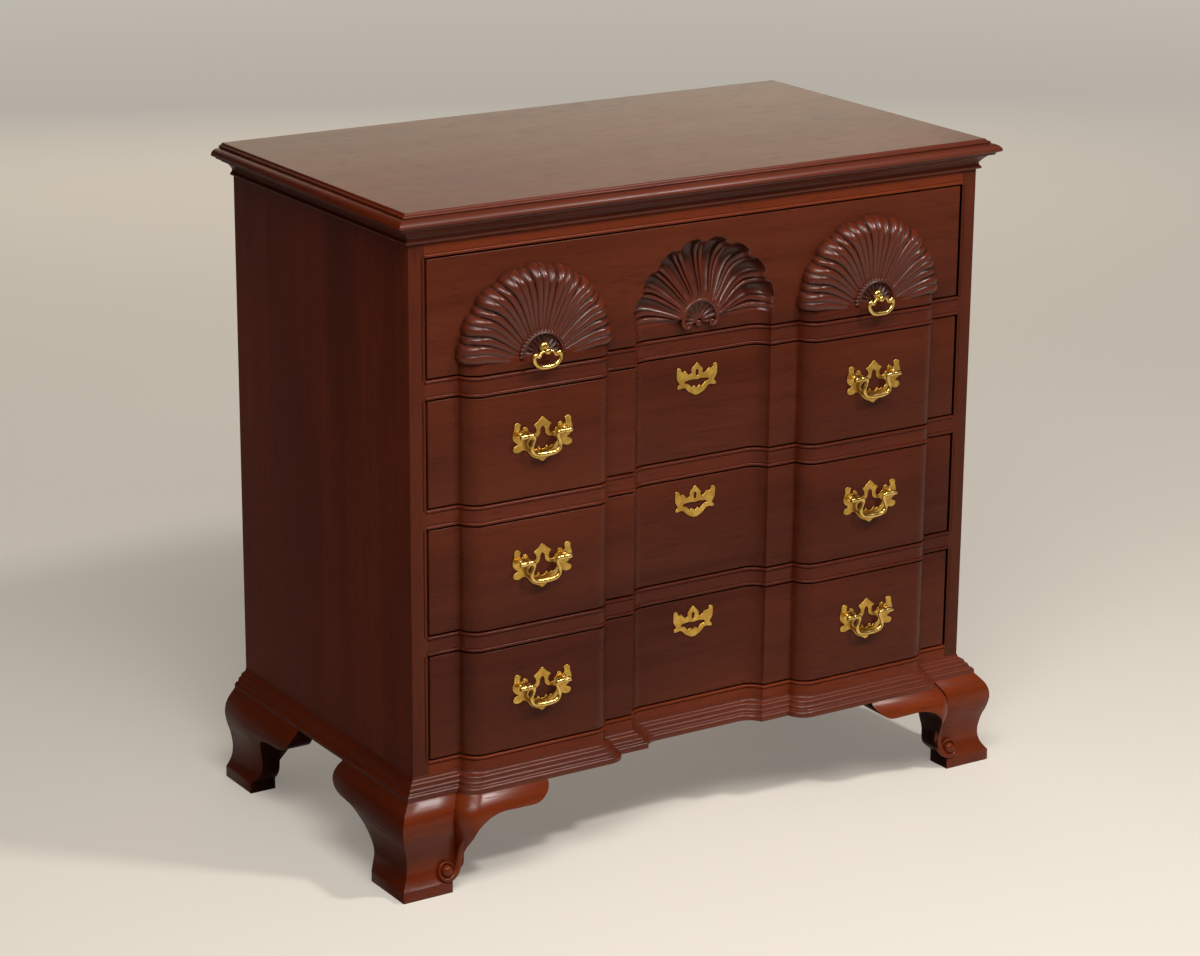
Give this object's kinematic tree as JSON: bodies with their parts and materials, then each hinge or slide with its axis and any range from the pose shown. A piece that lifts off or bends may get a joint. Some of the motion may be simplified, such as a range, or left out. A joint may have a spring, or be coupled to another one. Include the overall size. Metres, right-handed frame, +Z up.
{
  "type": "block front chest of drawers",
  "caption": "Block front mahogany chest: sliding drawers, carved shells, ogee bracket feet, pierced brass plates with swinging bails.",
  "frame": {"origin": "on the floor, under the middle of the whole chest's bounding box", "axes": "+Z up, +X to the right seen from the front, -Y out of the front"},
  "size_m": [0.93, 0.5328, 0.876],
  "materials": {
    "mahogany": "satin to gloss lacquer",
    "secondary_wood": "bare planed wood",
    "brass": "polished cast brass"
  },
  "bodies": {
    "case": {"top_board": "mahogany", "top_moulding_front": "mahogany", "top_moulding_sides": "mahogany", "side_panel_left": "mahogany", "side_panel_right": "mahogany", "back_panel": "secondary_wood", "top_rail": "mahogany", "drawer_blade_upper": "mahogany", "drawer_blade_middle": "mahogany", "drawer_blade_lower": "mahogany", "bottom_rail": "mahogany", "stile_beads": "mahogany", "drawer_runners": "secondary_wood", "bottom_board": "secondary_wood", "base_moulding_front": "mahogany", "base_moulding_sides": "mahogany", "front_foot_left_front_bracket": "mahogany", "front_foot_left_side_bracket": "mahogany", "front_foot_right_front_bracket": "mahogany", "front_foot_right_side_bracket": "mahogany", "rear_foot_left_side_bracket": "mahogany", "rear_foot_right_side_bracket": "mahogany", "rear_foot_back_brackets": "secondary_wood", "glue_blocks": "secondary_wood"},
    "drawer_1": {"drawer_1_front": "mahogany", "drawer_1_sides": "secondary_wood", "drawer_1_back": "secondary_wood", "drawer_1_bottom": "secondary_wood", "shell_left": "mahogany", "shell_right": "mahogany", "ring_posts": "brass"},
    "drawer_2": {"drawer_2_front": "mahogany", "drawer_2_sides": "secondary_wood", "drawer_2_back": "secondary_wood", "drawer_2_bottom": "secondary_wood", "drawer_2_backplates": "brass", "drawer_2_pull_posts": "brass", "drawer_2_escutcheon": "brass"},
    "drawer_3": {"drawer_3_front": "mahogany", "drawer_3_sides": "secondary_wood", "drawer_3_back": "secondary_wood", "drawer_3_bottom": "secondary_wood", "drawer_3_backplates": "brass", "drawer_3_pull_posts": "brass", "drawer_3_escutcheon": "brass"},
    "drawer_4": {"drawer_4_front": "mahogany", "drawer_4_sides": "secondary_wood", "drawer_4_back": "secondary_wood", "drawer_4_bottom": "secondary_wood", "drawer_4_backplates": "brass", "drawer_4_pull_posts": "brass", "drawer_4_escutcheon": "brass"},
    "ring_bail_left": {"ring_bail_left": "brass"},
    "ring_bail_right": {"ring_bail_right": "brass"},
    "drawer_2_bail_left": {"drawer_2_bail_left": "brass"},
    "drawer_2_bail_right": {"drawer_2_bail_right": "brass"},
    "drawer_3_bail_left": {"drawer_3_bail_left": "brass"},
    "drawer_3_bail_right": {"drawer_3_bail_right": "brass"},
    "drawer_4_bail_left": {"drawer_4_bail_left": "brass"},
    "drawer_4_bail_right": {"drawer_4_bail_right": "brass"}
  },
  "joints": [
    {"name": "drawer_1_slide", "type": "slide", "parent": "case", "child": "drawer_1", "axis": [0, -1, 0], "range_m": [0, 0.3]},
    {"name": "drawer_2_slide", "type": "slide", "parent": "case", "child": "drawer_2", "axis": [0, -1, 0], "range_m": [0, 0.3]},
    {"name": "drawer_3_slide", "type": "slide", "parent": "case", "child": "drawer_3", "axis": [0, -1, 0], "range_m": [0, 0.3]},
    {"name": "drawer_4_slide", "type": "slide", "parent": "case", "child": "drawer_4", "axis": [0, -1, 0], "range_m": [0, 0.3]},
    {"name": "ring_bail_left_hinge", "type": "hinge", "parent": "drawer_1", "child": "ring_bail_left", "pos_m": [-0.255, -0.2445, 0.6876], "axis": [-1, 0, 0], "range_deg": [0, 85]},
    {"name": "ring_bail_right_hinge", "type": "hinge", "parent": "drawer_1", "child": "ring_bail_right", "pos_m": [0.255, -0.2445, 0.6876], "axis": [-1, 0, 0], "range_deg": [0, 85]},
    {"name": "drawer_2_bail_left_hinge", "type": "hinge", "parent": "drawer_2", "child": "drawer_2_bail_left", "pos_m": [-0.255, -0.242, 0.58215], "axis": [-1, 0, 0], "range_deg": [0, 85]},
    {"name": "drawer_2_bail_right_hinge", "type": "hinge", "parent": "drawer_2", "child": "drawer_2_bail_right", "pos_m": [0.255, -0.242, 0.58215], "axis": [-1, 0, 0], "range_deg": [0, 85]},
    {"name": "drawer_3_bail_left_hinge", "type": "hinge", "parent": "drawer_3", "child": "drawer_3_bail_left", "pos_m": [-0.255, -0.242, 0.41715], "axis": [-1, 0, 0], "range_deg": [0, 85]},
    {"name": "drawer_3_bail_right_hinge", "type": "hinge", "parent": "drawer_3", "child": "drawer_3_bail_right", "pos_m": [0.255, -0.242, 0.41715], "axis": [-1, 0, 0], "range_deg": [0, 85]},
    {"name": "drawer_4_bail_left_hinge", "type": "hinge", "parent": "drawer_4", "child": "drawer_4_bail_left", "pos_m": [-0.255, -0.242, 0.25215], "axis": [-1, 0, 0], "range_deg": [0, 85]},
    {"name": "drawer_4_bail_right_hinge", "type": "hinge", "parent": "drawer_4", "child": "drawer_4_bail_right", "pos_m": [0.255, -0.242, 0.25215], "axis": [-1, 0, 0], "range_deg": [0, 85]}
  ]
}
